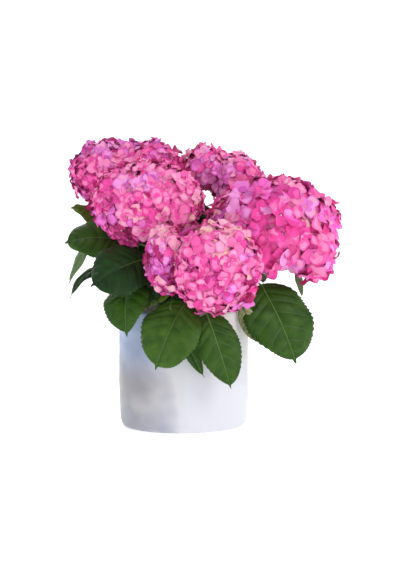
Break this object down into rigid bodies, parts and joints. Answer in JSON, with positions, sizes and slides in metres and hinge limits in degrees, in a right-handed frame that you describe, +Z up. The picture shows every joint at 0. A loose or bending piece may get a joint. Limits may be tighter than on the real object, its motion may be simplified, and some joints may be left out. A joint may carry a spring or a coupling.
{
  "type": "potted hydrangea",
  "caption": "Mophead hydrangea in flower in a round white ceramic pot: woody stems, stalked serrated leaves and round pink blooms.",
  "frame": {"origin": "centre of the pot's flat underside", "axes": "+Z up out of the pot; -Y is the front, where the lowest bloom nods over the rim; +X to the right seen from the front"},
  "size_m": [0.4095, 0.3814, 0.4312],
  "materials": {
    "glaze": "satin",
    "potting_mix": "matte",
    "stem": "matte",
    "leaf": "satin",
    "petal": "matte"
  },
  "bodies": {
    "root": {"pot": "glaze", "potting_mix": "potting_mix", "stem_front": "stem", "stem_left_front": "stem", "stem_left_back": "stem", "stem_centre_back": "stem", "stem_right": "stem", "stem_right_back": "stem", "stem_back": "stem", "leaves_front": "leaf", "leaves_left_front": "leaf", "leaves_left_back": "leaf", "leaves_centre_back": "leaf", "leaves_right": "leaf", "leaves_right_back": "leaf", "leaves_back": "leaf", "bloom_front": "petal", "bloom_left_front": "petal", "bloom_left_back": "petal", "bloom_centre_back": "petal", "bloom_right": "petal", "bloom_right_back": "petal", "bloom_back": "petal"}
  },
  "joints": []
}
